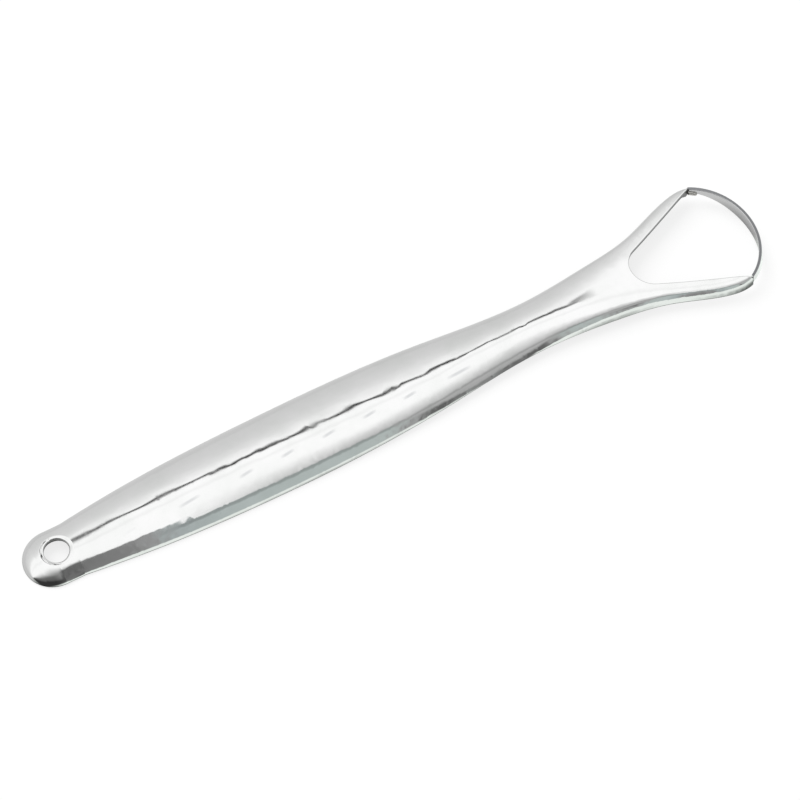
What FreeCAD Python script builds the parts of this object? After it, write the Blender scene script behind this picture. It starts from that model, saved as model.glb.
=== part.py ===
import FreeCAD, Part
import math
import os

# Tongue scraper: a pressed steel handle that opens into a fork, and a bent scraping band
# butt-welded across the two arms of the fork. Millimetres. X runs from the tail to the band,
# Y is across, Z is up. The origin is at half the length, on the axis, on the resting plane.

# Overall length and the two sheets
overall_length = 145.0
handle_sheet = 1.0
band_sheet = 0.6

# Tail with its hanging hole, and the land of straight sheet left in front of the hole
tail_radius = 5.5
tail_crown = 2.8
hole_diameter = 4.4
hole_from_tail = 6.2
hole_land = 0.6

# Arched sections along the handle: half width and height of the arch. The heel and the grip are
# placed from the tail end, and the sections towards the fork from the front of the band. From the
# throat on, the arch turns into two walls that lean inwards and a flat top: fullness is the share
# of the wall and of the top that pulls on the bend between them, and oval_fullness gives an oval.
oval_fullness = 0.45
heel_from_tail = 22.0
heel_half_width = 6.9
heel_crown = 3.9
grip_from_tail = 48.0
grip_half_width = 7.95
grip_crown = 4.5
waist_behind_front = 67.0
waist_half_width = 6.9
waist_crown = 3.6
neck_behind_front = 45.0
neck_half_width = 5.2
neck_crown = 3.1
throat_behind_front = 32.0
throat_half_width = 6.2
throat_crown = 3.1
throat_fullness = 0.7
throat_lean = 0.4
fork_behind_front = 22.0
fork_half_width = 8.1
fork_crown = 2.45
fork_fullness = 0.88
fork_lean = 0.8
shoulder_behind_front = 11.5
shoulder_swell = 0.1
shoulder_crown = 2.5
shoulder_fullness = 0.95
shoulder_lean = 0.6
tip_half_width = 11.5
tip_crown = 2.6
tip_fullness = 0.95
tip_lean = 0.3

# Rim line seen from the side: flat as far as the grip section, then lifted towards the fork
waist_lift = 0.85
neck_lift = 1.3
fork_lift = 1.4

# Fan-shaped window between the arms of the fork, with a round crotch
crotch_behind_front = 22.9
crotch_half_width = 4.0
arm_tip_width = 0.75

# Scraping band: an oval arc, deepest at the front and leaning outwards towards its lower edge
joint_behind_front = 7.0
band_top_reach = 11.05
band_lean = 0.55
band_end_depth = 1.2
band_inset = 0.1
band_overlap = 0.33

# Weld beads under the band's two ends
bead_radius = 0.4
bead_length = 1.6

# Rounding of the edges
rim_round = 0.25
hole_round = 0.25
window_round = 0.2
band_round = 0.12

# Allowances of the pressing and of the cuts
trim_allowance = 0.35
blank_skirt = 1.5
overcut = 30.0
touching = 1e-5
edge_samples = 5
half_turn = 180.0
band_stations = 17

# Places that follow from the sizes above
waist_from_tail = overall_length - waist_behind_front
neck_from_tail = overall_length - neck_behind_front
throat_from_tail = overall_length - throat_behind_front
crotch_from_tail = overall_length - crotch_behind_front
fork_from_tail = overall_length - fork_behind_front
shoulder_from_tail = overall_length - shoulder_behind_front
joint_from_tail = overall_length - joint_behind_front
band_bottom_reach = band_top_reach + band_lean
band_centre_from_tail = overall_length - band_bottom_reach
joint_reach = joint_from_tail - band_centre_from_tail
shoulder_half_width = tip_half_width + shoulder_swell
window_tip_half_width = tip_half_width - arm_tip_width
shank_from_tail = hole_from_tail + hole_diameter / 2 + hole_land


def at(from_tail, across, up):
    """Point given by its distance from the tail end, its offset from the axis and its height."""
    return FreeCAD.Vector(from_tail - overall_length / 2, across, up)


def slab(start, end):
    """Box between two distances from the tail end, larger than the part in the other directions."""
    corner = at(start, -overcut, -overcut)
    return Part.makeBox(end - start, 2 * overcut, 2 * overcut, corner)


def arch(from_tail, half_width, crown, base, fullness, lean):
    """Arch across the handle, from the -Y side over the top to the +Y side, as one cubic spline."""
    side = [
        (half_width, base),
        (half_width - lean * fullness, base + crown * fullness),
        ((half_width - lean) * fullness, base + crown),
    ]
    poles = [at(from_tail, -across, up) for across, up in side]
    poles += [at(from_tail, 0, base + crown)]
    poles += [at(from_tail, across, up) for across, up in reversed(side)]
    curve = Part.BSplineCurve()
    curve.buildFromPolesMultsKnots(poles, [4, 1, 1, 1, 4], [0, 0.25, 0.5, 0.75, 1], False, 3)
    return curve.toShape()


def section(from_tail, half_width, crown, lift, fullness, lean):
    """Closed outline of the sheet across the handle, with a straight skirt below the rim line."""
    base = lift - trim_allowance
    foot = base - blank_skirt
    inner = half_width - handle_sheet
    full_crown = crown + trim_allowance
    edges = [
        arch(from_tail, half_width, full_crown, base, fullness, lean),
        arch(from_tail, inner, full_crown - handle_sheet, base, fullness, lean),
    ]
    for side in (-1, 1):
        corners = [
            at(from_tail, side * half_width, base),
            at(from_tail, side * half_width, foot),
            at(from_tail, side * inner, foot),
            at(from_tail, side * inner, base),
        ]
        edges += Part.makePolygon(corners).Edges
    return Part.Wire(Part.__sortEdges__(edges))


def edges_left_by(tool, solid):
    """Curved edges of a solid that lie on the tool which cut it."""
    found = []
    for edge in solid.Edges:
        span = edge.Vertexes[0].distToShape(edge.Vertexes[-1])[0]
        if edge.Length - span < touching:
            continue
        samples = [Part.Vertex(place) for place in edge.discretize(edge_samples)]
        if all(tool.distToShape(sample)[0] < touching for sample in samples):
            found.append(edge)
    return found


def handle_blank():
    """Pressed shell before trimming: a round tail, a straight stretch that holds the hole, and a loft.

    The loft's first section mirrors the heel behind its start, so that it leaves the straight level."""
    grip = [
        (2 * shank_from_tail - heel_from_tail, heel_half_width, heel_crown, 0),
        (shank_from_tail, tail_radius, tail_crown, 0),
        (heel_from_tail, heel_half_width, heel_crown, 0),
        (grip_from_tail, grip_half_width, grip_crown, 0),
        (waist_from_tail, waist_half_width, waist_crown, waist_lift),
        (neck_from_tail, neck_half_width, neck_crown, neck_lift),
    ]
    fork = [
        (throat_from_tail, throat_half_width, throat_crown, throat_fullness, throat_lean),
        (fork_from_tail, fork_half_width, fork_crown, fork_fullness, fork_lean),
        (shoulder_from_tail, shoulder_half_width, shoulder_crown, shoulder_fullness, shoulder_lean),
        (joint_from_tail, tip_half_width, tip_crown, tip_fullness, tip_lean),
    ]
    sections = [section(*row, oval_fullness, 0) for row in grip]
    for place, half_width, crown, fullness, lean in fork:
        sections.append(section(place, half_width, crown, fork_lift, fullness, lean))
    behind = slab(shank_from_tail - heel_from_tail, shank_from_tail)
    body = Part.makeLoft(sections, True, False).cut(behind)
    tail_end = Part.Face(section(tail_radius, tail_radius, tail_crown, 0, oval_fullness, 0))
    straight = tail_end.extrude(FreeCAD.Vector(shank_from_tail - tail_radius, 0, 0))
    one_side = Part.makeBox(2 * overcut, overcut, 2 * overcut, at(tail_radius - overcut, 0, -overcut))
    profile = tail_end.common(one_side).Faces[0]
    tail = profile.revolve(at(tail_radius, 0, 0), FreeCAD.Vector(0, 0, 1), half_turn)
    return body.fuse([straight, tail]).removeSplitter()


def rim_cutter():
    """Everything below the rim line, as a prism across the handle."""
    start = at(-overcut, 0, 0)
    flat_end = at(grip_from_tail, 0, 0)
    joint = at(joint_from_tail, 0, fork_lift)
    end = at(overall_length, 0, fork_lift)
    lifted = Part.BSplineCurve()
    lifted.interpolate(
        Points=[
            flat_end,
            at(waist_from_tail, 0, waist_lift),
            at(neck_from_tail, 0, neck_lift),
            at(fork_from_tail, 0, fork_lift),
            joint,
        ],
        InitialTangent=FreeCAD.Vector(1, 0, 0),
        FinalTangent=FreeCAD.Vector(1, 0, 0),
    )
    below_end = at(overall_length, 0, -overcut)
    below_start = at(-overcut, 0, -overcut)
    edges = [
        Part.makeLine(start, flat_end),
        lifted.toShape(),
        Part.makeLine(joint, end),
        Part.makeLine(end, below_end),
        Part.makeLine(below_end, below_start),
        Part.makeLine(below_start, start),
    ]
    profile = Part.Face(Part.Wire(edges))
    profile.translate(FreeCAD.Vector(0, -overcut, 0))
    return profile.extrude(FreeCAD.Vector(0, 2 * overcut, 0))


def window_cutter():
    """Upright prism of the fan-shaped window, whose crotch is an arc tangent to both sides."""
    slope = (window_tip_half_width - crotch_half_width) / (joint_from_tail - crotch_from_tail)
    far_end = joint_from_tail + overcut
    far_half_width = window_tip_half_width + slope * overcut
    corners = [
        at(crotch_from_tail, -crotch_half_width, -overcut),
        at(far_end, -far_half_width, -overcut),
        at(far_end, far_half_width, -overcut),
        at(crotch_from_tail, crotch_half_width, -overcut),
    ]
    run = crotch_half_width * slope
    crotch = at(crotch_from_tail + run - math.hypot(crotch_half_width, run), 0, -overcut)
    round_end = Part.Arc(corners[3], crotch, corners[0]).toShape()
    fan = Part.Face(Part.Wire(Part.makePolygon(corners).Edges + [round_end]))
    return fan.extrude(FreeCAD.Vector(0, 0, 2 * overcut))


def handle_shell():
    """Handle: tail, grip, neck and the two arms of the fork, in one sheet."""
    shell = handle_blank()
    rim = rim_cutter()
    window = window_cutter()
    hole_foot = at(hole_from_tail, 0, -overcut)
    hole = Part.makeCylinder(hole_diameter / 2, 2 * overcut, hole_foot)
    for tool, radius in ((hole, hole_round), (rim, rim_round), (window, window_round)):
        shell = shell.cut(tool).Solids[0]
        shell = shell.makeFillet(radius, edges_left_by(tool, shell)).Solids[0]
    return shell


def tip_height():
    """Height of the arm's upper face at the window's edge, where the band begins."""
    base = fork_lift - trim_allowance
    full_crown = tip_crown + trim_allowance
    upper_face = arch(joint_from_tail, tip_half_width, full_crown, base, tip_fullness, tip_lean)
    below = at(joint_from_tail, window_tip_half_width, -overcut)
    above = at(joint_from_tail, window_tip_half_width, overcut)
    return upper_face.distToShape(Part.makeLine(below, above))[1][0][0].z


def oval_radius(angle, reach, half_width):
    """Distance from an oval's centre to its edge, at an angle from the +X direction."""
    forward = half_width * math.cos(angle)
    sideways = reach * math.sin(angle)
    return reach * half_width / math.hypot(forward, sideways)


def oval_half_width(across_at_joint, reach):
    """Half width of the oval that passes a given offset at the joint."""
    return across_at_joint / math.sqrt(1 - (joint_reach / reach) ** 2)


def band_corners(angle):
    """The four corners of the band in the upright plane at an angle around the oval's centre."""
    top_width = oval_half_width(window_tip_half_width + band_overlap, band_top_reach)
    bottom_at_joint = tip_half_width - band_inset
    bottom_width = oval_half_width(bottom_at_joint, band_bottom_reach)
    top_out = oval_radius(angle, band_top_reach, top_width)
    bottom_out = oval_radius(angle, band_bottom_reach, bottom_width)
    top = tip_height()
    rise = (bottom_out * math.sin(angle) / bottom_at_joint) ** 2
    bottom = (top - band_end_depth) * rise
    length = math.hypot(bottom_out - top_out, top - bottom)
    inward = -band_sheet * (top - bottom) / length
    downward = -band_sheet * (bottom_out - top_out) / length
    flat = [
        (top_out, top),
        (bottom_out, bottom),
        (bottom_out + inward, bottom + downward * rise),
        (top_out + inward, top + downward),
    ]
    places = []
    for radius, height in flat:
        forward = band_centre_from_tail + radius * math.cos(angle)
        places.append(at(forward, radius * math.sin(angle), height))
    return places


def scraper_band():
    """Bent strip from the tip of one arm round to the tip of the other."""
    outlines = []
    for step in range(band_stations):
        angle = math.pi * (step / (band_stations - 1) - 0.5)
        corners = band_corners(angle)
        outlines.append(Part.makePolygon(corners + corners[:1]))
    strip = Part.makeLoft(outlines, True, False)
    behind = slab(-overcut, joint_from_tail)
    band = strip.cut(behind).Solids[0]
    long_edges = [edge for edge in band.Edges if edge.Length > joint_behind_front]
    return band.makeFillet(band_round, long_edges).Solids[0]


def band_weld(band, side):
    """Weld bead along the band's lower inner edge, against the end of one arm."""
    start_angle = math.atan2(tip_half_width - band_inset, joint_reach)
    end_angle = start_angle - bead_length / band_bottom_reach
    ends = []
    for angle in (start_angle, end_angle):
        ends.append(band_corners(side * angle)[2])
    along_band = (ends[1] - ends[0]).normalize()
    foot = ends[0] - along_band * bead_length
    rod = Part.makeCylinder(bead_radius, (ends[1] - foot).Length, foot, along_band)
    bead = rod.fuse(Part.makeSphere(bead_radius, ends[1])).removeSplitter()
    return bead.cut(slab(-overcut, joint_from_tail)).cut(band).Solids[0]


def main():
    os.makedirs("parts", exist_ok=True)
    handle_shell().exportStep("parts/handle_shell.step")
    band = scraper_band()
    band.exportStep("parts/scraper_band.step")
    welds = Part.Compound([band_weld(band, side) for side in (-1, 1)])
    welds.exportStep("parts/band_welds.step")


main()
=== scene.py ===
import math

import bmesh
import bpy
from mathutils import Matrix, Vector


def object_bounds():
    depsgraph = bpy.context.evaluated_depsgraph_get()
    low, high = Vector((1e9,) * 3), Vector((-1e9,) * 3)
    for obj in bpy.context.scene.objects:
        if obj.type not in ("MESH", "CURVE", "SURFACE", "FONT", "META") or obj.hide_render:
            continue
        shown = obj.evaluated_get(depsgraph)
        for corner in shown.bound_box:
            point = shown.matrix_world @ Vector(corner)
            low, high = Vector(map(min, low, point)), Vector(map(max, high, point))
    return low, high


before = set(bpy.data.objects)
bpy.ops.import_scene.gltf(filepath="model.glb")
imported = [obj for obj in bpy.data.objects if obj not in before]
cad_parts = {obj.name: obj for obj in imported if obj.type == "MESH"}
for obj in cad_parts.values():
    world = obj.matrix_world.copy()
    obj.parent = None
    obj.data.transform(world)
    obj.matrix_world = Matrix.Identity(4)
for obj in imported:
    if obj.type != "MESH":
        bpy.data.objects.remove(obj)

MM = 0.001
cad_box = [list(corner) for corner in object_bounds()]

# The camera stands off the tail, to the near side, and looks steeply down on the scraper.
CAMERA_AZIMUTH = math.radians(-28.85)
CAMERA_ELEVATION = math.radians(60.0)
CAMERA_DISTANCE = 450.0 * MM
CAMERA_TARGET = Vector((-0.89, -1.02, 0.0)) * MM
# Lens and sensor are in millimetres, as Blender takes them
CAMERA_LENS = 115.77
SENSOR_WIDTH = 36.0

# Floor and lamp, in metres and watts, and the paper's own light as a share of white
FLOOR_SIZE = 3.0
FLOOR_GAP = 0.02 * MM
KEY_SIZE = 0.7
KEY_POWER = 5.0
KEY_PLACE = Vector((-0.15, 0.55, 0.75))
PAPER_GLOW = 0.78

# Painted glow on the paper that only the steel sees, as a bright sheet: its front edge along the grip, and
# under the head
SHEET_GRIP_EDGE = -11.5 * MM
SHEET_HEAD_EDGE = -45.0 * MM
SHEET_WIDENS_FROM = 25.0 * MM
SHEET_WIDENS_TO = 60.0 * MM
SHEET_FADE_START = -1.5 * MM
SHEET_FADE_END = 2.5 * MM
# Beyond the tail it is cut away in front, and close under the scraper painted contact shade darkens it
TAIL_CUT_START = -68.0 * MM
TAIL_CUT_END = -71.0 * MM
FRONT_START = -1.5 * MM
FRONT_END = -4.0 * MM
CONTACT_SHADE_REACH = 1.6 * MM

# Studio in the steel. Lights are shares of white paper. Heights are degrees up from the near horizon.
# Places along the handle are the X part of a direction, from -1 at the tail to 1 at the head.
HALF_TURN = 180.0
PANEL_LIGHT = 1.52
FRAME_LIGHT = 0.03
FRAME_LEAN = 17.0
FRAME_BEND = 15.9
FRAME_BEND_START = 0.335
FRAME_BEND_END = 0.60
HAZE_BOTTOM = 20.0
HAZE_TOP = 74.0
HAZE_END = 80.0
HEADWARD_START = 0.05
HEADWARD_FULL = 0.20
LEDGE_START = 0.02
LEDGE_FULL = 0.06
TAILWARD_START = -0.24
TAILWARD_FULL = -0.35
FILL_LIGHT = 0.55
# A colour ramp holds an angle as degrees divided by this
RAMP_DEGREES = 100.0

# Press marks along the handle's back: first and last mark, how far a mark reaches across, and its depth
FIRST_MARK = -58.5 * MM
LAST_MARK = 19.5 * MM
MARK_COUNT = 8
MARK_REACH = 1.8 * MM
MARK_DEPTH = 0.014 * MM
# The line of marks drifts from just beyond the middle by the tail to the near side along the grip
DRIFT_START = -60.0 * MM
DRIFT_END = -10.0 * MM
LINE_BY_TAIL = 0.1 * MM
LINE_ON_GRIP = -0.62 * MM

# Painted dark reflections, as dashes beside the press marks: place on the near flank, half width, slant, and
# shift towards the head, in radians of the marks' beat
PAINTED_DASH_ASIDE = 3.1 * MM
PAINTED_DASH_WIDTH = 0.35 * MM
PAINTED_DASH_SLANT = 0.14 * MM
PAINTED_DASH_SHIFT = 1.9

# The stretch that holds the hanging hole dips towards the tail
DIP_START = -70.0 * MM
SHANK_START = -63.5 * MM
DIP_SLOPE = 0.15

# From the neck to the head the top leans forward
LEAN_START = 18.0 * MM
LEAN_END = 84.0 * MM
LEAN_DROP = 4.0 * MM

# Hanging hole: its middle along the handle, and the edge that the punch has drawn down
HOLE_MIDDLE = -66.3 * MM
HOLE_EDGE_START = 2.3 * MM
HOLE_EDGE_END = 3.0 * MM
HOLE_EDGE_DRAW = 0.18 * MM

# Middle of the scraping band's arc, from the origin along the handle
BAND_CENTRE = 60.98 * MM

# Surface patterns: sizes of one line, smudge or grain, and the part of the noise that shows
BUFFING_SPACING = 0.4 * MM
BUFFING_LENGTH = 11.11 * MM
SMUDGE_SIZE = 6.25 * MM
ROLLING_SPACING = 0.25 * MM
ROLLING_PER_RADIAN = 1.2
BRUSH_GRAIN = 0.25 * MM
BRUSH_DEPTH = 0.02 * MM
NOISE_LOW = 0.3
NOISE_HIGH = 0.7

# Roughness of the finishes
BUFFED_SMOOTH = 0.05
BUFFED_STREAK = 0.09
SMUDGE_DULLING = 0.05
TUMBLED_ROUGHNESS = 0.32
ROLLED_SMOOTH = 0.10
ROLLED_STREAK = 0.20
SLIT_ROUGHNESS = 0.35
BRUSHED_SMOOTH = 0.28
BRUSHED_ROUGH = 0.42

# How far up a face looks where the tumbled finish and its painted shade start and where they are full.
# The strip's slit edges have the same, with their painted shade, for faces that look up or down.
TUMBLED_SHADE_START = 0.36
TUMBLED_SHADE_FULL = 0.18
SLIT_SHADE_START = 0.80
SLIT_SHADE_FULL = 0.95


def linear(hex_colour):
    """Linear colour of an sRGB hex value."""
    channels = [int(hex_colour[i : i + 2], 16) / 255 for i in (0, 2, 4)]
    return [c / 12.92 if c <= 0.04045 else ((c + 0.055) / 1.055) ** 2.4 for c in channels] + [1.0]


def grey(level):
    """Colour of a plain light level or mask."""
    return [level, level, level, 1.0]


def add(tree, kind, settings=None, links=None):
    """Adds a node, sets its properties, sockets and ramp stops, and links its sockets to other outputs."""
    node = tree.nodes.new(kind)
    for name, value in (settings or {}).items():
        if name == "stops":
            elements = node.color_ramp.elements
            elements.remove(elements[-1])
            for index, (place, colour) in enumerate(value):
                element = elements.new(place) if index else elements[0]
                element.position = place
                element.color = colour
        elif isinstance(name, str) and hasattr(node, name):
            setattr(node, name, value)
        else:
            node.inputs[name].default_value = value
    for name, source in (links or {}).items():
        tree.links.new(source, node.inputs[name])
    return node


def new_tree(name):
    """An empty material and its node tree."""
    material = bpy.data.materials.new(name)
    material.use_nodes = True
    material.node_tree.nodes.clear()
    return material, material.node_tree


def studio_world():
    """Soft white studio.

    Polished steel sees a bright panel overhead, a pale wall behind and a dim room in front.
    """
    world = bpy.data.worlds.new("soft_studio")
    bpy.context.scene.world = world
    world.use_nodes = True
    tree = world.node_tree
    tree.nodes.clear()
    place = add(tree, "ShaderNodeTexCoord")
    axes = add(tree, "ShaderNodeSeparateXYZ", links={0: place.outputs["Generated"]})
    side = axes.outputs["X"]
    front = add(tree, "ShaderNodeMath", {"operation": "MULTIPLY", 1: -1.0}, {0: axes.outputs["Y"]})
    roll = add(tree, "ShaderNodeMath", {"operation": "ARCTAN2"}, {0: axes.outputs["Z"], 1: front.outputs[0]})
    # Degrees from the near horizon (0) over the zenith (90) to the far horizon (180)
    rise = add(tree, "ShaderNodeMath", {"operation": "DEGREES"}, {0: roll.outputs[0]}).outputs[0]

    along = add(tree, "ShaderNodeMapRange", {"From Min": -1.0, "From Max": 1.0}, {"Value": side})

    # Overhead panel, its dark far frame, and the wall behind, which fades downwards.
    # The frame runs nearer to the zenith towards the head, and bends back past the neck.
    lean = add(tree, "ShaderNodeMath", {"operation": "MULTIPLY_ADD", 1: FRAME_LEAN}, {0: side, 2: rise})
    bend = add(
        tree,
        "ShaderNodeMapRange",
        {"From Min": FRAME_BEND_START, "From Max": FRAME_BEND_END, "To Min": 0.0, "To Max": FRAME_BEND},
        {"Value": side},
    )
    bent = add(tree, "ShaderNodeMath", {"operation": "SUBTRACT"}, {0: lean.outputs[0], 1: bend.outputs[0]})
    height = add(tree, "ShaderNodeMath", {"operation": "DIVIDE", 1: HALF_TURN}, {0: bent.outputs[0]})
    panel = add(
        tree,
        "ShaderNodeValToRGB",
        {
            "stops": [
                (98 / HALF_TURN, grey(PANEL_LIGHT)),
                (104 / HALF_TURN, grey(1.4)),
                (110 / HALF_TURN, grey(PANEL_LIGHT)),
                (119.4 / HALF_TURN, grey(1.5)),
                (125 / HALF_TURN, grey(1.3)),
                (131 / HALF_TURN, grey(1.15)),
                (145 / HALF_TURN, grey(1.03)),
                (165 / HALF_TURN, grey(0.95)),
                (1.0, grey(0.92)),
            ]
        },
        {0: height.outputs[0]},
    )
    frame_bar = add(
        tree,
        "ShaderNodeValToRGB",
        {
            "stops": [
                (115.6 / HALF_TURN, grey(1.0)),
                (116.4 / HALF_TURN, grey(FRAME_LIGHT)),
                (118.6 / HALF_TURN, grey(FRAME_LIGHT)),
                (119.4 / HALF_TURN, grey(1.0)),
            ]
        },
        {0: height.outputs[0]},
    )
    frame_span = add(
        tree,
        "ShaderNodeValToRGB",
        {
            "stops": [
                (0.42, grey(0.0)),
                (0.445, grey(1.0)),
                (0.68, grey(1.0)),
                (0.715, grey(0.6)),
                (0.74, grey(0.0)),
            ]
        },
        {0: along.outputs[0]},
    )
    framed = add(
        tree,
        "ShaderNodeMix",
        {"data_type": "RGBA", "blend_type": "MULTIPLY"},
        {0: frame_span.outputs["Color"], 6: panel.outputs["Color"], 7: frame_bar.outputs["Color"]},
    )

    # Towards the head the panel ends in a soft gradient instead of a hard edge
    fade = add(
        tree,
        "ShaderNodeMapRange",
        {"From Min": HAZE_BOTTOM, "From Max": HAZE_TOP},
        {"Value": rise},
    )
    haze = add(
        tree,
        "ShaderNodeValToRGB",
        {
            "stops": [
                (0.0, grey(0.62)),
                (0.18, grey(0.66)),
                (0.30, grey(0.5)),
                (0.37, grey(0.64)),
                (0.44, grey(0.82)),
                (0.60, grey(1.0)),
                (0.74, grey(1.2)),
                (0.90, grey(1.48)),
                (1.0, grey(PANEL_LIGHT)),
            ]
        },
        {0: fade.outputs[0]},
    )
    headward = add(
        tree,
        "ShaderNodeMapRange",
        {"From Min": HEADWARD_START, "From Max": HEADWARD_FULL},
        {"Value": side},
    )
    low = add(
        tree,
        "ShaderNodeMapRange",
        {"From Min": HAZE_TOP, "From Max": HAZE_END, "To Min": 1.0, "To Max": 0.0},
        {"Value": rise},
    )
    hazy = add(
        tree,
        "ShaderNodeMath",
        {"operation": "MULTIPLY"},
        {0: headward.outputs[0], 1: low.outputs[0]},
    )
    sky = add(
        tree,
        "ShaderNodeMix",
        {"data_type": "RGBA"},
        {0: hazy.outputs[0], 6: framed.outputs[2], 7: haze.outputs["Color"]},
    )

    # Dim room in front: dark beyond the tail, greenish grey along the grip, a dark gap before the head
    room = add(
        tree,
        "ShaderNodeValToRGB",
        {
            "stops": [
                (0.20, grey(0.05)),
                (0.375, grey(0.11)),
                (0.43, grey(0.28)),
                (0.475, grey(0.32)),
                (0.50, grey(0.45)),
                (0.52, [0.55, 0.61, 0.61, 1.0]),
                (0.56, [0.66, 0.73, 0.72, 1.0]),
                (0.63, [0.66, 0.73, 0.71, 1.0]),
                (0.652, grey(0.52)),
                (0.666, grey(0.22)),
                (0.684, grey(0.14)),
                (0.70, grey(0.36)),
                (0.72, [0.55, 0.60, 0.59, 1.0]),
                (0.80, [0.70, 0.76, 0.74, 1.0]),
            ]
        },
        {0: along.outputs[0]},
    )
    # How high the room reaches, and how soft its upper edge is
    reach = add(
        tree,
        "ShaderNodeValToRGB",
        {
            "stops": [
                (0.20, grey(0.70)),
                (0.42, grey(0.66)),
                (0.46, grey(0.60)),
                (0.49, grey(0.56)),
                (0.525, grey(0.53)),
                (0.535, grey(0.41)),
                (0.62, grey(0.40)),
                (0.66, grey(0.24)),
                (0.68, grey(0.16)),
                (0.70, grey(0.08)),
            ]
        },
        {0: along.outputs[0]},
    )
    softness = add(
        tree,
        "ShaderNodeValToRGB",
        {
            "stops": [
                (0.20, grey(0.20)),
                (0.38, grey(0.08)),
                (0.44, grey(0.012)),
                (0.62, grey(0.012)),
                (0.66, grey(0.08)),
            ]
        },
        {0: along.outputs[0]},
    )
    top = add(
        tree,
        "ShaderNodeMath",
        {"operation": "MULTIPLY", 1: RAMP_DEGREES},
        {0: reach.outputs["Color"]},
    )
    soft = add(
        tree,
        "ShaderNodeMath",
        {"operation": "MULTIPLY", 1: RAMP_DEGREES},
        {0: softness.outputs["Color"]},
    )
    upper = add(tree, "ShaderNodeMath", {"operation": "ADD"}, {0: top.outputs[0], 1: soft.outputs[0]})
    lower = add(tree, "ShaderNodeMath", {"operation": "SUBTRACT"}, {0: top.outputs[0], 1: soft.outputs[0]})
    below = add(
        tree,
        "ShaderNodeMapRange",
        {"interpolation_type": "SMOOTHSTEP", "To Min": 1.0, "To Max": 0.0},
        {"Value": rise, "From Min": lower.outputs[0], "From Max": upper.outputs[0]},
    )
    # A darker ledge runs along the top of the room
    ledge = add(
        tree,
        "ShaderNodeValToRGB",
        {
            "stops": [
                (0.14, grey(1.0)),
                (0.24, grey(0.68)),
                (0.37, grey(0.66)),
                (0.60, grey(0.9)),
            ]
        },
        {0: fade.outputs[0]},
    )
    ledge_start = add(
        tree,
        "ShaderNodeMapRange",
        {"From Min": LEDGE_START, "From Max": LEDGE_FULL},
        {"Value": side},
    )
    shaded = add(
        tree,
        "ShaderNodeMix",
        {"data_type": "RGBA", "blend_type": "MULTIPLY"},
        {0: ledge_start.outputs[0], 6: room.outputs["Color"], 7: ledge.outputs["Color"]},
    )
    # Beyond the tail the room is dark only close to the floor
    gloom = add(
        tree,
        "ShaderNodeValToRGB",
        {
            "stops": [
                (0.0, grey(1.0)),
                (0.30, grey(3.2)),
                (0.65, grey(4.5)),
            ]
        },
        {0: fade.outputs[0]},
    )
    tailward = add(
        tree,
        "ShaderNodeMapRange",
        {"From Min": TAILWARD_START, "From Max": TAILWARD_FULL},
        {"Value": side},
    )
    dimmed = add(
        tree,
        "ShaderNodeMix",
        {"data_type": "RGBA", "blend_type": "MULTIPLY"},
        {0: tailward.outputs[0], 6: shaded.outputs[2], 7: gloom.outputs["Color"]},
    )
    seen = add(
        tree,
        "ShaderNodeMix",
        {"data_type": "RGBA"},
        {0: below.outputs[0], 6: sky.outputs[2], 7: dimmed.outputs[2]},
    )

    # The steel sees the studio, the picture a plain white, and matt surfaces get a dimmer fill
    path = add(tree, "ShaderNodeLightPath")
    mirrored = add(tree, "ShaderNodeBackground", links={"Color": seen.outputs[2]})
    plain = add(tree, "ShaderNodeBackground", {"Color": grey(1.0), "Strength": 1.0})
    dim = add(tree, "ShaderNodeBackground", {"Color": grey(1.0), "Strength": FILL_LIGHT})
    lit = add(
        tree,
        "ShaderNodeMixShader",
        links={0: path.outputs["Is Camera Ray"], 1: dim.outputs[0], 2: plain.outputs[0]},
    )
    reflected = add(
        tree,
        "ShaderNodeMath",
        {"operation": "MAXIMUM"},
        {0: path.outputs["Is Glossy Ray"], 1: path.outputs["Is Transmission Ray"]},
    )
    both = add(
        tree,
        "ShaderNodeMixShader",
        links={0: reflected.outputs[0], 1: lit.outputs[0], 2: mirrored.outputs[0]},
    )
    add(tree, "ShaderNodeOutputWorld", links={"Surface": both.outputs[0]})


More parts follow.
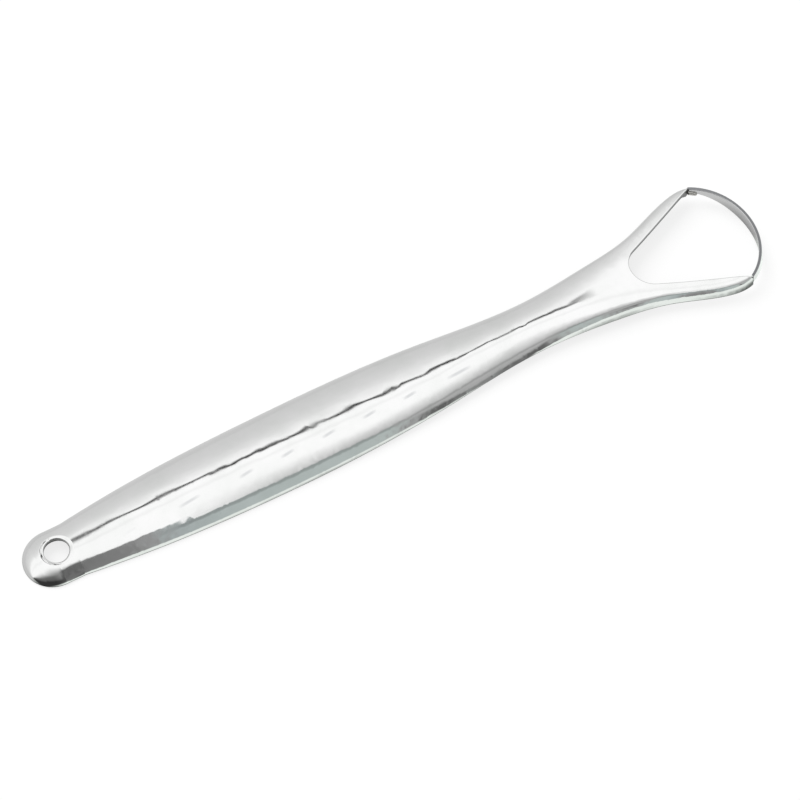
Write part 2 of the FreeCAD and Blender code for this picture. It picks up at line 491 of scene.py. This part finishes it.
def paper_floor():
    """Matt white paper: near white where it is open, grey where the scraper shades it.

    In the steel it shows as a narrow sheet of painted glow in front of the scraper, with painted shade under
    the scraper and on its far side, painted contact shade right at the contact, and the dim room beyond the
    sheet.
    """
    material, tree = new_tree("white_paper_sheet")
    matt = add(tree, "ShaderNodeBsdfDiffuse", {"Color": linear("8C8C8C")})
    glow = add(tree, "ShaderNodeEmission", {"Color": grey(1.0), "Strength": PAPER_GLOW})
    open_paper = add(tree, "ShaderNodeAddShader", links={0: matt.outputs[0], 1: glow.outputs[0]})

    place = add(tree, "ShaderNodeTexCoord")
    axes = add(tree, "ShaderNodeSeparateXYZ", links={0: place.outputs["Object"]})
    # The bright sheet ends close in front of the grip and reaches further forward under the head
    edge = add(
        tree,
        "ShaderNodeMapRange",
        {
            "From Min": SHEET_WIDENS_FROM,
            "From Max": SHEET_WIDENS_TO,
            "To Min": SHEET_GRIP_EDGE,
            "To Max": SHEET_HEAD_EDGE,
        },
        {"Value": axes.outputs["X"]},
    )
    past = add(tree, "ShaderNodeMath", {"operation": "SUBTRACT"}, {0: edge.outputs[0], 1: axes.outputs["Y"]})
    gone = add(
        tree,
        "ShaderNodeMapRange",
        {"interpolation_type": "SMOOTHSTEP", "From Min": SHEET_FADE_START, "From Max": SHEET_FADE_END},
        {"Value": past.outputs[0]},
    )
    behind = add(
        tree,
        "ShaderNodeMapRange",
        {"From Min": TAIL_CUT_START, "From Max": TAIL_CUT_END},
        {"Value": axes.outputs["X"]},
    )
    in_front = add(
        tree,
        "ShaderNodeMapRange",
        {"From Min": FRONT_START, "From Max": FRONT_END},
        {"Value": axes.outputs["Y"]},
    )
    corner = add(
        tree,
        "ShaderNodeMath",
        {"operation": "MULTIPLY"},
        {0: behind.outputs[0], 1: in_front.outputs[0]},
    )
    outside = add(
        tree,
        "ShaderNodeMath",
        {"operation": "MAXIMUM"},
        {0: gone.outputs[0], 1: corner.outputs[0]},
    )
    # Painted shade: the glow is dimmer under the scraper and on its far side, brighter and greenish in front
    # of it
    near = add(
        tree,
        "ShaderNodeValToRGB",
        {
            "stops": [
                (0.0, grey(0.86)),
                (1.0, [1.24, 1.3, 1.25, 1.0]),
            ]
        },
        {0: in_front.outputs[0]},
    )
    # Painted contact shade: ambient occlusion darkens the glow close under the scraper
    contact = add(tree, "ShaderNodeAmbientOcclusion", {"samples": 8, "Distance": CONTACT_SHADE_REACH})
    sheet = add(
        tree,
        "ShaderNodeEmission",
        links={"Color": near.outputs["Color"], "Strength": contact.outputs["AO"]},
    )
    clear = add(tree, "ShaderNodeBsdfTransparent")
    mirrored = add(
        tree,
        "ShaderNodeMixShader",
        links={0: outside.outputs[0], 1: sheet.outputs[0], 2: clear.outputs[0]},
    )

    path = add(tree, "ShaderNodeLightPath")
    seen = add(
        tree,
        "ShaderNodeMixShader",
        links={0: path.outputs["Is Camera Ray"], 1: matt.outputs[0], 2: open_paper.outputs[0]},
    )
    both = add(
        tree,
        "ShaderNodeMixShader",
        links={0: path.outputs["Is Glossy Ray"], 1: seen.outputs[0], 2: mirrored.outputs[0]},
    )
    add(tree, "ShaderNodeOutputMaterial", links={"Surface": both.outputs[0]})

    mesh = bpy.data.meshes.new("floor")
    shape = bmesh.new()
    bmesh.ops.create_grid(shape, x_segments=1, y_segments=1, size=FLOOR_SIZE / 2)
    bmesh.ops.translate(shape, vec=(0, 0, cad_box[0][2] - FLOOR_GAP), verts=shape.verts)
    shape.to_mesh(mesh)
    shape.free()
    mesh.materials.append(material)
    floor = bpy.data.objects.new("floor", mesh)
    bpy.context.scene.collection.objects.link(floor)


def pressed_mirror_steel():
    """Stainless sheet, pressed, buffed to a mirror outside, only tumbled inside and on its cut edges.

    The eye gets a clear reflection that breaks into dashes over the press marks, faint buffing lines and
    smudges, short dashes of painted dark reflection on the near flank, and satin edges with painted shade
    that draw the outline.
    """
    material, tree = new_tree("mirror_buffed_pressed_stainless")
    place = add(tree, "ShaderNodeTexCoord")
    axes = add(tree, "ShaderNodeSeparateXYZ", links={0: place.outputs["Object"]})

    # Press marks: flats along the back, 12 mm apart by the tail and 8 mm apart along the grip
    along = add(
        tree,
        "ShaderNodeMapRange",
        {"From Min": FIRST_MARK, "From Max": LAST_MARK},
        {"Value": axes.outputs["X"]},
    )
    beat = add(
        tree,
        "ShaderNodeValToRGB",
        {
            "stops": [
                (0.0, grey(0.0)),
                (0.31, grey(0.25)),
                (0.82, grey(0.875)),
                (1.0, grey(1.0)),
            ]
        },
        {0: along.outputs[0]},
    )
    turn = add(
        tree,
        "ShaderNodeMath",
        {"operation": "MULTIPLY", 1: 2 * math.pi * MARK_COUNT},
        {0: beat.outputs["Color"]},
    )
    swing = add(tree, "ShaderNodeMath", {"operation": "COSINE"}, {0: turn.outputs[0]})
    middle = add(
        tree,
        "ShaderNodeMapRange",
        {
            "From Min": DRIFT_START,
            "From Max": DRIFT_END,
            "To Min": LINE_BY_TAIL,
            "To Max": LINE_ON_GRIP,
        },
        {"Value": axes.outputs["X"]},
    )
    beside = add(
        tree,
        "ShaderNodeMath",
        {"operation": "SUBTRACT"},
        {0: axes.outputs["Y"], 1: middle.outputs[0]},
    )
    across = add(
        tree,
        "ShaderNodeMapRange",
        {"From Min": -MARK_REACH, "From Max": MARK_REACH, "To Min": -math.pi, "To Max": math.pi},
        {"Value": beside.outputs[0]},
    )
    bell = add(tree, "ShaderNodeMath", {"operation": "COSINE"}, {0: across.outputs[0]})
    # From -1 in the middle of the line to 0 at its sides
    hollow = add(
        tree,
        "ShaderNodeMath",
        {"operation": "MULTIPLY_ADD", 1: -0.5, 2: -0.5},
        {0: bell.outputs[0]},
    )
    marks = add(
        tree,
        "ShaderNodeMath",
        {"operation": "MULTIPLY"},
        {0: swing.outputs[0], 1: hollow.outputs[0]},
    )
    pressed = add(
        tree,
        "ShaderNodeBump",
        {"Strength": 1.0, "Distance": MARK_DEPTH},
        {"Height": marks.outputs[0]},
    )
    # The tail dips a little towards its end, and from the neck to the head the top leans forward
    dip = add(
        tree,
        "ShaderNodeMapRange",
        {"From Min": DIP_START, "From Max": SHANK_START},
        {"Value": axes.outputs["X"]},
    )
    dipped = add(
        tree,
        "ShaderNodeBump",
        {"Strength": 1.0, "Distance": DIP_SLOPE * (SHANK_START - DIP_START)},
        {"Height": dip.outputs[0], "Normal": pressed.outputs[0]},
    )
    lean = add(
        tree,
        "ShaderNodeMapRange",
        {
            "interpolation_type": "SMOOTHSTEP",
            "From Min": LEAN_START,
            "From Max": LEAN_END,
            "To Min": 1.0,
            "To Max": 0.0,
        },
        {"Value": axes.outputs["X"]},
    )
    leaning = add(
        tree,
        "ShaderNodeBump",
        {"Strength": 1.0, "Distance": LEAN_DROP},
        {"Height": lean.outputs[0], "Normal": dipped.outputs[0]},
    )
    # The punch has drawn the hole's edge down, so that a bright ring surrounds the hole
    past_hole = add(
        tree,
        "ShaderNodeMath",
        {"operation": "SUBTRACT", 1: HOLE_MIDDLE},
        {0: axes.outputs["X"]},
    )
    around_hole = add(
        tree,
        "ShaderNodeCombineXYZ",
        links={"X": past_hole.outputs[0], "Y": axes.outputs["Y"]},
    )
    from_hole = add(tree, "ShaderNodeVectorMath", {"operation": "LENGTH"}, {0: around_hole.outputs[0]})
    drawn = add(
        tree,
        "ShaderNodeMapRange",
        {"interpolation_type": "SMOOTHSTEP", "From Min": HOLE_EDGE_START, "From Max": HOLE_EDGE_END},
        {"Value": from_hole.outputs["Value"]},
    )
    shaped = add(
        tree,
        "ShaderNodeBump",
        {"Strength": 1.0, "Distance": HOLE_EDGE_DRAW},
        {"Height": drawn.outputs[0], "Normal": leaning.outputs[0]},
    )

    # Buffing lines run along the handle, drawn coarser than real ones, which are a few micrometres apart.
    # The smudges are patches left by handling.
    grain = add(
        tree,
        "ShaderNodeMapping",
        {"Scale": (1 / BUFFING_LENGTH, 1 / BUFFING_SPACING, 1 / BUFFING_SPACING)},
        {"Vector": place.outputs["Object"]},
    )
    lines = add(tree, "ShaderNodeTexNoise", {"Scale": 1.0, "Detail": 2.0}, {"Vector": grain.outputs[0]})
    smudges = add(
        tree,
        "ShaderNodeTexNoise",
        {"Scale": 1 / SMUDGE_SIZE, "Detail": 4.0, "Roughness": 0.6},
        {"Vector": place.outputs["Object"]},
    )
    streaks = add(
        tree,
        "ShaderNodeMapRange",
        {"From Min": NOISE_LOW, "From Max": NOISE_HIGH, "To Min": BUFFED_SMOOTH, "To Max": BUFFED_STREAK},
        {"Value": lines.outputs["Fac"]},
    )
    handled = add(
        tree,
        "ShaderNodeMapRange",
        {"From Min": 0.5, "From Max": 0.75, "To Min": 0.0, "To Max": SMUDGE_DULLING},
        {"Value": smudges.outputs["Fac"]},
    )
    outer = add(tree, "ShaderNodeMath", {"operation": "ADD"}, {0: streaks.outputs[0], 1: handled.outputs[0]})
    polish = add(
        tree,
        "ShaderNodeValToRGB",
        {
            "stops": [
                (0.35, linear("D2D2D2")),
                (0.7, linear("CCCDCC")),
            ]
        },
        {0: smudges.outputs["Fac"]},
    )

    # One short dash of painted dark reflection beside each press mark, on the near flank, in the base colour
    # only
    dash_turn = add(tree, "ShaderNodeMath", {"operation": "SUBTRACT", 1: PAINTED_DASH_SHIFT}, {0: turn.outputs[0]})
    dash_swing = add(tree, "ShaderNodeMath", {"operation": "COSINE"}, {0: dash_turn.outputs[0]})
    dash_length = add(
        tree,
        "ShaderNodeMapRange",
        {"From Min": 0.4, "From Max": 0.95},
        {"Value": dash_swing.outputs[0]},
    )
    dash_sway = add(tree, "ShaderNodeMath", {"operation": "SINE"}, {0: dash_turn.outputs[0]})
    dash_slant = add(
        tree,
        "ShaderNodeMath",
        {"operation": "MULTIPLY_ADD", 1: -PAINTED_DASH_SLANT},
        {0: dash_sway.outputs[0], 2: axes.outputs["Y"]},
    )
    dash_offset = add(tree, "ShaderNodeMath", {"operation": "ADD", 1: PAINTED_DASH_ASIDE}, {0: dash_slant.outputs[0]})
    dash_aside = add(tree, "ShaderNodeMath", {"operation": "ABSOLUTE"}, {0: dash_offset.outputs[0]})
    dash_width = add(
        tree,
        "ShaderNodeMapRange",
        {"From Min": PAINTED_DASH_WIDTH, "From Max": 0.3 * PAINTED_DASH_WIDTH},
        {"Value": dash_aside.outputs[0]},
    )
    dash_span = add(
        tree,
        "ShaderNodeValToRGB",
        {
            "stops": [
                (0.04, grey(0.0)),
                (0.12, grey(0.8)),
                (0.9, grey(1.0)),
                (0.98, grey(0.0)),
            ]
        },
        {0: along.outputs[0]},
    )
    dash = add(
        tree,
        "ShaderNodeMath",
        {"operation": "MULTIPLY"},
        {0: dash_length.outputs[0], 1: dash_width.outputs[0]},
    )
    painted_dash = add(
        tree,
        "ShaderNodeMath",
        {"operation": "MULTIPLY"},
        {0: dash.outputs[0], 1: dash_span.outputs["Color"]},
    )
    # Painted dark reflection: the dashes darken the polished colour
    bright = add(
        tree,
        "ShaderNodeMix",
        {"data_type": "RGBA", 7: linear("B7B8B9")},
        {0: painted_dash.outputs[0], 6: polish.outputs["Color"]},
    )

    # Faces that look sideways or down (sheared edges, hole wall, inside of the trough): tumbled, and
    # darkened by painted shade
    facing = add(tree, "ShaderNodeSeparateXYZ", links={0: place.outputs["Normal"]})
    tumbled_and_shaded = add(
        tree,
        "ShaderNodeMapRange",
        {"From Min": TUMBLED_SHADE_START, "From Max": TUMBLED_SHADE_FULL},
        {"Value": facing.outputs["Z"]},
    )
    # Painted shade: the dark colour on these faces; their higher roughness is the real tumbled finish
    tint = add(
        tree,
        "ShaderNodeMix",
        {"data_type": "RGBA", 7: linear("4C4D4C")},
        {0: tumbled_and_shaded.outputs[0], 6: bright.outputs[2]},
    )
    rough = add(
        tree,
        "ShaderNodeMix",
        {"data_type": "FLOAT", 3: TUMBLED_ROUGHNESS},
        {0: tumbled_and_shaded.outputs[0], 2: outer.outputs[0]},
    )
    steel = add(
        tree,
        "ShaderNodeBsdfPrincipled",
        {"Metallic": 1.0},
        {"Base Color": tint.outputs[2], "Roughness": rough.outputs[0], "Normal": shaped.outputs[0]},
    )
    add(tree, "ShaderNodeOutputMaterial", links={"Surface": steel.outputs[0]})
    return material


def rolled_strip_steel():
    """Thin cold-rolled stainless strip: bright faces with rolling lines along the arc, rough cut edges
    darkened by painted shade.
    """
    material, tree = new_tree("bright_rolled_stainless_strip")
    place = add(tree, "ShaderNodeTexCoord")
    axes = add(tree, "ShaderNodeSeparateXYZ", links={0: place.outputs["Object"]})
    ahead = add(tree, "ShaderNodeMath", {"operation": "SUBTRACT", 1: BAND_CENTRE}, {0: axes.outputs["X"]})
    angle = add(
        tree,
        "ShaderNodeMath",
        {"operation": "ARCTAN2"},
        {0: axes.outputs["Y"], 1: ahead.outputs[0]},
    )
    unrolled = add(tree, "ShaderNodeCombineXYZ", links={"X": angle.outputs[0], "Y": axes.outputs["Z"]})
    # Rolling lines, about 9 mm long along the arc and drawn coarser than real ones so that they show
    grain = add(
        tree,
        "ShaderNodeMapping",
        {"Scale": (ROLLING_PER_RADIAN, 1 / ROLLING_SPACING, 1.0)},
        {"Vector": unrolled.outputs[0]},
    )
    lines = add(tree, "ShaderNodeTexNoise", {"Scale": 1.0, "Detail": 3.0}, {"Vector": grain.outputs[0]})
    streaks = add(
        tree,
        "ShaderNodeMapRange",
        {"From Min": NOISE_LOW, "From Max": NOISE_HIGH, "To Min": ROLLED_SMOOTH, "To Max": ROLLED_STREAK},
        {"Value": lines.outputs["Fac"]},
    )
    bright = add(
        tree,
        "ShaderNodeValToRGB",
        {
            "stops": [
                (0.35, linear("CFCFCF")),
                (0.7, linear("C2C3C3")),
            ]
        },
        {0: lines.outputs["Fac"]},
    )
    facing = add(tree, "ShaderNodeSeparateXYZ", links={0: place.outputs["Normal"]})
    flat = add(tree, "ShaderNodeMath", {"operation": "ABSOLUTE"}, {0: facing.outputs["Z"]})
    slit_and_shaded = add(
        tree,
        "ShaderNodeMapRange",
        {"From Min": SLIT_SHADE_START, "From Max": SLIT_SHADE_FULL},
        {"Value": flat.outputs[0]},
    )
    # Painted shade: faces that look up or down, the cut edges, get a dark colour; their higher roughness is
    # real
    tint = add(
        tree,
        "ShaderNodeMix",
        {"data_type": "RGBA", 7: linear("77787A")},
        {0: slit_and_shaded.outputs[0], 6: bright.outputs["Color"]},
    )
    rough = add(
        tree,
        "ShaderNodeMix",
        {"data_type": "FLOAT", 3: SLIT_ROUGHNESS},
        {0: slit_and_shaded.outputs[0], 2: streaks.outputs[0]},
    )
    steel = add(
        tree,
        "ShaderNodeBsdfPrincipled",
        {"Metallic": 1.0},
        {"Base Color": tint.outputs[2], "Roughness": rough.outputs[0]},
    )
    add(tree, "ShaderNodeOutputMaterial", links={"Surface": steel.outputs[0]})
    return material


def weld_steel():
    """Small weld bead, wire-brushed to a satin: grainy, with a trace of straw heat tint."""
    material, tree = new_tree("brushed_weld_bead")
    place = add(tree, "ShaderNodeTexCoord")
    # Brush grains, drawn coarser than real ones so that they show
    grains = add(
        tree,
        "ShaderNodeTexNoise",
        {"Scale": 1 / BRUSH_GRAIN, "Detail": 3.0},
        {"Vector": place.outputs["Object"]},
    )
    tint = add(
        tree,
        "ShaderNodeValToRGB",
        {
            "stops": [
                (0.35, linear("B4B2AE")),
                (0.65, linear("C6C4BF")),
            ]
        },
        {0: grains.outputs["Fac"]},
    )
    rough = add(
        tree,
        "ShaderNodeMapRange",
        {"From Min": NOISE_LOW, "From Max": NOISE_HIGH, "To Min": BRUSHED_SMOOTH, "To Max": BRUSHED_ROUGH},
        {"Value": grains.outputs["Fac"]},
    )
    pits = add(
        tree,
        "ShaderNodeBump",
        {"Strength": 1.0, "Distance": BRUSH_DEPTH},
        {"Height": grains.outputs["Fac"]},
    )
    steel = add(
        tree,
        "ShaderNodeBsdfPrincipled",
        {"Metallic": 1.0},
        {"Base Color": tint.outputs["Color"], "Roughness": rough.outputs[0], "Normal": pits.outputs[0]},
    )
    add(tree, "ShaderNodeOutputMaterial", links={"Surface": steel.outputs[0]})
    return material


def dress(node, material):
    """Gives a CAD node's slots their finish."""
    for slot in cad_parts[node].material_slots:
        slot.material = material


def lamp(name, place, size, power):
    """A square lamp that faces the origin and shows in neither the picture nor the steel."""
    light = bpy.data.lights.new(name, "AREA")
    light.size = size
    light.energy = power
    obj = bpy.data.objects.new(name, light)
    obj.location = place
    obj.rotation_mode = "QUATERNION"
    obj.rotation_quaternion = (-place).to_track_quat("-Z", "Y")
    obj.visible_camera = False
    obj.visible_glossy = False
    bpy.context.scene.collection.objects.link(obj)


def photo_camera():
    """The camera that was fitted to the photo."""
    data = bpy.data.cameras.new("photo_camera")
    data.lens = CAMERA_LENS
    data.sensor_width = SENSOR_WIDTH
    data.clip_start = MM
    camera = bpy.data.objects.new("photo_camera", data)
    level = math.cos(CAMERA_ELEVATION)
    back = Vector(
        (
            math.sin(CAMERA_AZIMUTH) * level,
            -math.cos(CAMERA_AZIMUTH) * level,
            math.sin(CAMERA_ELEVATION),
        )
    )
    camera.location = CAMERA_TARGET + back * CAMERA_DISTANCE
    camera.rotation_mode = "QUATERNION"
    camera.rotation_quaternion = (-back).to_track_quat("-Z", "Y")
    bpy.context.scene.collection.objects.link(camera)
    bpy.context.scene.camera = camera


bpy.context.scene.view_settings.view_transform = "Standard"
studio_world()
paper_floor()
lamp("key_panel", KEY_PLACE, KEY_SIZE, KEY_POWER)
photo_camera()
dress("handle_shell", pressed_mirror_steel())
dress("scraper_band", rolled_strip_steel())
dress("band_welds", weld_steel())
